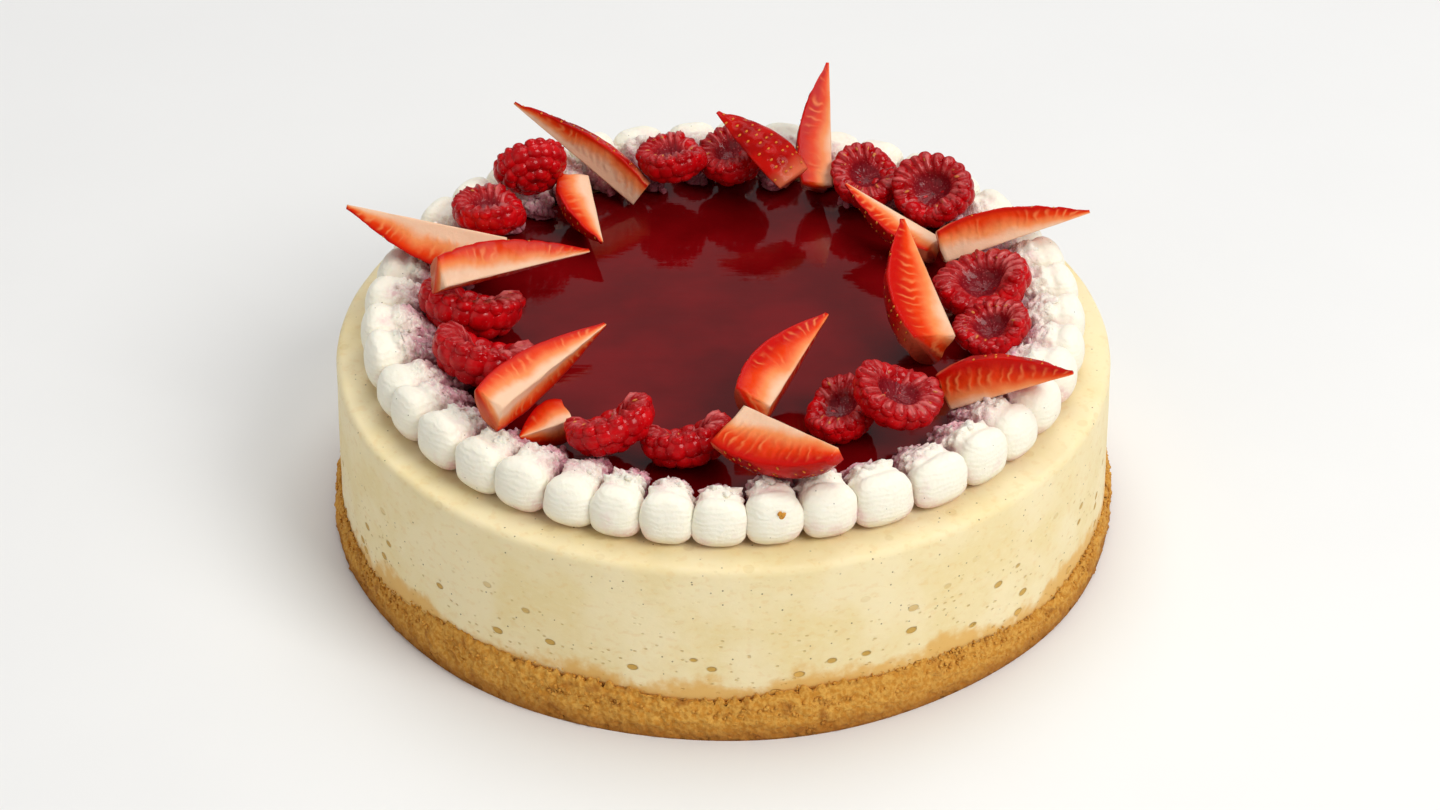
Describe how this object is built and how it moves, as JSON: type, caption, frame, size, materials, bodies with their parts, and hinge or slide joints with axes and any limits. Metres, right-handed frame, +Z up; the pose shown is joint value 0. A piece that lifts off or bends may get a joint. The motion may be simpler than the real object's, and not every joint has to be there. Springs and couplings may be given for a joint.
{
  "type": "cheesecake",
  "caption": "Baked cheesecake, 20 cm across, on a biscuit crust, with berry jelly, a piped cream border and a wreath of strawberry wedges and raspberry halves.",
  "frame": {"origin": "centre of the cake's footprint, on the surface it stands on", "axes": "+Z up out of the top of the cake, -Y towards the front, +X to the right as seen from the front"},
  "size_m": [0.2047, 0.2054, 0.0842],
  "materials": {
    "crust": "baked biscuit crumb, dry and grainy",
    "filling": "baked cream cheese, smooth and matt with small pits and specks",
    "jelly": "set berry jelly, dark and mirror smooth",
    "cream": "whipped cream, soft and matt",
    "strawberry": "cut strawberry, moist",
    "raspberry": "cut raspberry, moist"
  },
  "bodies": {
    "root": {"crust": "crust", "filling": "filling", "jelly": "jelly", "cream_border": "cream", "strawberry_01": "strawberry", "strawberry_02": "strawberry", "strawberry_03": "strawberry", "strawberry_04": "strawberry", "strawberry_05": "strawberry", "strawberry_06": "strawberry", "strawberry_07": "strawberry", "strawberry_08": "strawberry", "strawberry_09": "strawberry", "strawberry_10": "strawberry", "strawberry_11": "strawberry", "strawberry_12": "strawberry", "strawberry_13": "strawberry", "strawberry_14": "strawberry", "raspberry_01": "raspberry", "raspberry_02": "raspberry", "raspberry_03": "raspberry", "raspberry_04": "raspberry", "raspberry_05": "raspberry", "raspberry_06": "raspberry", "raspberry_07": "raspberry", "raspberry_08": "raspberry", "raspberry_09": "raspberry", "raspberry_10": "raspberry", "raspberry_11": "raspberry", "raspberry_12": "raspberry", "raspberry_13": "raspberry", "raspberry_14": "raspberry"}
  },
  "joints": []
}
